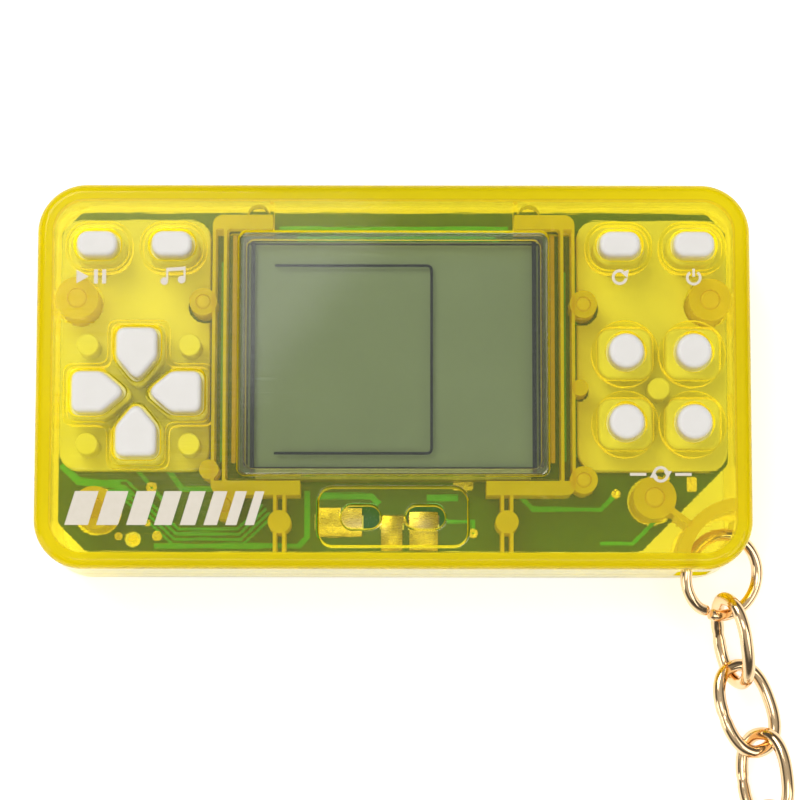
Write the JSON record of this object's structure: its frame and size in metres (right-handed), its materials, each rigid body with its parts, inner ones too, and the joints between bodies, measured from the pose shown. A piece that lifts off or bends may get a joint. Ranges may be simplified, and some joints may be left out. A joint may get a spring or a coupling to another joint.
{
  "type": "handheld lcd game",
  "caption": "Pocket LCD game in a see-through yellow case, with a direction pad, round and oval silicone keys, and a gold-coloured key chain.",
  "frame": {"origin": "centre of the case's back face, which stands on z = 0", "axes": "+X along the case towards the action keys, +Y towards the case's top edge, +Z out of the screen"},
  "size_m": [0.0818, 0.0931, 0.0152],
  "materials": {
    "shell_plastic": "glossy see-through yellow, moulded",
    "lens_plastic": "polished, clear",
    "silicone": "satin white silicone",
    "board": "green solder mask over copper tracks",
    "lcd_glass": "polished",
    "polariser": "fine satin film, grey-green",
    "carbon": "matt black",
    "epoxy": "black epoxy",
    "foam": "matt dark grey foam",
    "brass": "rolled sheet",
    "ceramic": "silvered white ceramic",
    "steel": "zinc plated",
    "component": "moulded component",
    "wire_red": "insulation",
    "wire_black": "insulation",
    "gold_plate": "polished pale gold plate over steel wire"
  },
  "bodies": {
    "case": {"rear_shell": "shell_plastic", "front_shell": "shell_plastic", "window_lens": "lens_plastic", "case_screw_1": "steel", "case_screw_2": "steel", "case_screw_3": "steel", "case_screw_4": "steel", "front_polariser": "polariser", "lcd_front_glass": "lcd_glass", "lcd_rear_glass": "lcd_glass", "rear_polariser": "polariser", "zebra_strip": "carbon", "foam_strip": "foam", "main_board": "board", "chip_blob": "epoxy", "capacitor": "component", "resistor": "component", "board_screw_1": "steel", "board_screw_2": "steel", "board_screw_3": "steel", "board_screw_4": "steel", "contact_positive": "brass", "contact_negative": "brass", "contact_bridge": "brass", "cell_1": "steel", "cell_2": "steel", "piezo_disc": "brass", "piezo_ceramic": "ceramic", "buzzer_wire_1": "wire_red", "buzzer_wire_2": "wire_black", "left_keypad": "silicone", "right_keypad": "silicone"},
    "battery_door": {"battery_door": "shell_plastic"},
    "door_screw": {"door_screw": "steel"},
    "key_right": {"key_right": "silicone"},
    "key_up": {"key_up": "silicone"},
    "key_left": {"key_left": "silicone"},
    "key_down": {"key_down": "silicone"},
    "key_action_1": {"key_action_1": "silicone"},
    "key_action_2": {"key_action_2": "silicone"},
    "key_action_3": {"key_action_3": "silicone"},
    "key_action_4": {"key_action_4": "silicone"},
    "key_start_pause": {"key_start_pause": "silicone"},
    "key_music": {"key_music": "silicone"},
    "key_reset": {"key_reset": "silicone"},
    "key_power": {"key_power": "silicone"},
    "corner_ring": {"corner_ring": "gold_plate"},
    "chain_link_1": {"chain_link_1": "gold_plate"},
    "chain_link_2": {"chain_link_2": "gold_plate"},
    "chain_link_3": {"chain_link_3": "gold_plate"},
    "chain_link_4": {"chain_link_4": "gold_plate"},
    "chain_link_5": {"chain_link_5": "gold_plate"},
    "key_ring": {"key_ring": "gold_plate"}
  },
  "joints": [
    {"name": "key_right_press", "type": "slide", "parent": "case", "child": "key_right", "axis": [0, 0, -1], "range_m": [0, 0.0008], "stiffness_N_per_m": 20},
    {"name": "key_up_press", "type": "slide", "parent": "case", "child": "key_up", "axis": [0, 0, -1], "range_m": [0, 0.0008], "stiffness_N_per_m": 20},
    {"name": "key_left_press", "type": "slide", "parent": "case", "child": "key_left", "axis": [0, 0, -1], "range_m": [0, 0.0008], "stiffness_N_per_m": 20},
    {"name": "key_down_press", "type": "slide", "parent": "case", "child": "key_down", "axis": [0, 0, -1], "range_m": [0, 0.0008], "stiffness_N_per_m": 20},
    {"name": "key_action_1_press", "type": "slide", "parent": "case", "child": "key_action_1", "axis": [0, 0, -1], "range_m": [0, 0.0008], "stiffness_N_per_m": 20},
    {"name": "key_action_2_press", "type": "slide", "parent": "case", "child": "key_action_2", "axis": [0, 0, -1], "range_m": [0, 0.0008], "stiffness_N_per_m": 20},
    {"name": "key_action_3_press", "type": "slide", "parent": "case", "child": "key_action_3", "axis": [0, 0, -1], "range_m": [0, 0.0008], "stiffness_N_per_m": 20},
    {"name": "key_action_4_press", "type": "slide", "parent": "case", "child": "key_action_4", "axis": [0, 0, -1], "range_m": [0, 0.0008], "stiffness_N_per_m": 20},
    {"name": "key_start_pause_press", "type": "slide", "parent": "case", "child": "key_start_pause", "axis": [0, 0, -1], "range_m": [0, 0.0008], "stiffness_N_per_m": 20},
    {"name": "key_music_press", "type": "slide", "parent": "case", "child": "key_music", "axis": [0, 0, -1], "range_m": [0, 0.0008], "stiffness_N_per_m": 20},
    {"name": "key_reset_press", "type": "slide", "parent": "case", "child": "key_reset", "axis": [0, 0, -1], "range_m": [0, 0.0008], "stiffness_N_per_m": 20},
    {"name": "key_power_press", "type": "slide", "parent": "case", "child": "key_power", "axis": [0, 0, -1], "range_m": [0, 0.0008], "stiffness_N_per_m": 20},
    {"name": "battery_door_lift", "type": "slide", "parent": "case", "child": "battery_door", "axis": [0, 0, -1], "range_m": [0, 0.012]},
    {"name": "door_screw_turn", "type": "hinge", "parent": "battery_door", "child": "door_screw", "pos_m": [0, 0.0064, 0.0012], "axis": [0, 0, 1], "continuous": true},
    {"name": "corner_ring_swing", "type": "hinge", "parent": "case", "child": "corner_ring", "pos_m": [0.0316, -0.0168, 0.0078], "axis": [-0.848, -0.5299, 0], "range_deg": [-2, 6]},
    {"name": "chain_link_1_swing", "type": "hinge", "parent": "corner_ring", "child": "chain_link_1", "pos_m": [0.03333, -0.02289, 0.00635], "axis": [-0.898, -0.2877, 0.333], "range_deg": [-2, 35]},
    {"name": "chain_link_2_swing", "type": "hinge", "parent": "chain_link_1", "child": "chain_link_2", "pos_m": [0.03438, -0.02952, 0.00364], "axis": [0.4399, -0.2795, 0.8535], "range_deg": [-15, 4]},
    {"name": "chain_link_3_swing", "type": "hinge", "parent": "chain_link_2", "child": "chain_link_3", "pos_m": [0.0367, -0.03626, 0.00314], "axis": [-0.8682, -0.3266, 0.3737], "range_deg": [-1, 17]},
    {"name": "chain_link_4_swing", "type": "hinge", "parent": "chain_link_3", "child": "chain_link_4", "pos_m": [0.03744, -0.04335, 0.00339], "axis": [0.7366, 0.1009, 0.6687], "range_deg": [-15, 3]},
    {"name": "chain_link_5_swing", "type": "hinge", "parent": "chain_link_4", "child": "chain_link_5", "pos_m": [0.03682, -0.05047, 0.00352], "axis": [-0.862, 0.0842, 0.4999], "range_deg": [0, 25]},
    {"name": "key_ring_swing", "type": "hinge", "parent": "chain_link_5", "child": "key_ring", "pos_m": [0.03707, -0.0576, 0.00364], "axis": [0.4992, 0.0326, 0.8659], "range_deg": [-12, 3]}
  ]
}
